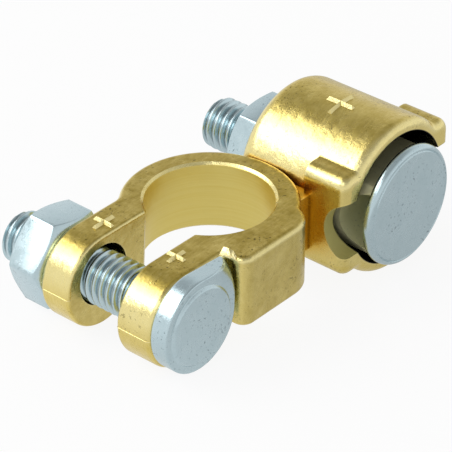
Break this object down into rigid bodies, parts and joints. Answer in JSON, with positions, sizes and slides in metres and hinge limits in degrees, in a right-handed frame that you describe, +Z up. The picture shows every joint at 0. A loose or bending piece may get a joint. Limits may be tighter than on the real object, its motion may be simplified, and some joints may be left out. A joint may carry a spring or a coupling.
{
  "type": "battery terminal clamp",
  "caption": "Cast brass clamp for a car battery post: split ring drawn up by a bolt across two ears, and a barrel whose bolted disc grips the cable.",
  "frame": {"origin": "on the axis of the post bore, at the underside of the ring", "axes": "+Z up along the post bore, +X along both bolts from their nuts to their heads, +Y from the ears to the barrel"},
  "size_m": [0.0375, 0.0597, 0.0237],
  "materials": {
    "cast_brass": "satin, as cast",
    "zinc_plated_steel": "satin zinc plating"
  },
  "bodies": {
    "body": {"clamp_body": "cast_brass"},
    "clamp_bolt": {"clamp_bolt": "zinc_plated_steel"},
    "clamp_nut": {"clamp_nut": "zinc_plated_steel"},
    "cable_bolt": {"cable_bolt": "zinc_plated_steel"},
    "cable_nut": {"cable_nut": "zinc_plated_steel"}
  },
  "joints": [
    {"name": "clamp_nut_spin", "type": "hinge", "parent": "body", "child": "clamp_nut", "pos_m": [-0.0098, -0.017, 0.0047], "axis": [1, 0, 0], "range_deg": [-1080, 0]},
    {"name": "clamp_bolt_slide", "type": "slide", "parent": "body", "child": "clamp_bolt", "axis": [1, 0, 0], "range_m": [0, 0.0038]},
    {"name": "cable_nut_spin", "type": "hinge", "parent": "body", "child": "cable_nut", "pos_m": [-0.0056, 0.0236, 0.0055], "axis": [1, 0, 0], "range_deg": [-1080, 1080]},
    {"name": "cable_bolt_slide", "type": "slide", "parent": "body", "child": "cable_bolt", "axis": [1, 0, 0], "range_m": [-0.0038, 0.0038]}
  ],
  "couplings": [
    {"joint": "clamp_bolt_slide", "follows": "clamp_nut_spin", "m_per_rad": -0.00019894},
    {"joint": "cable_bolt_slide", "follows": "cable_nut_spin", "m_per_rad": -0.00019894}
  ]
}
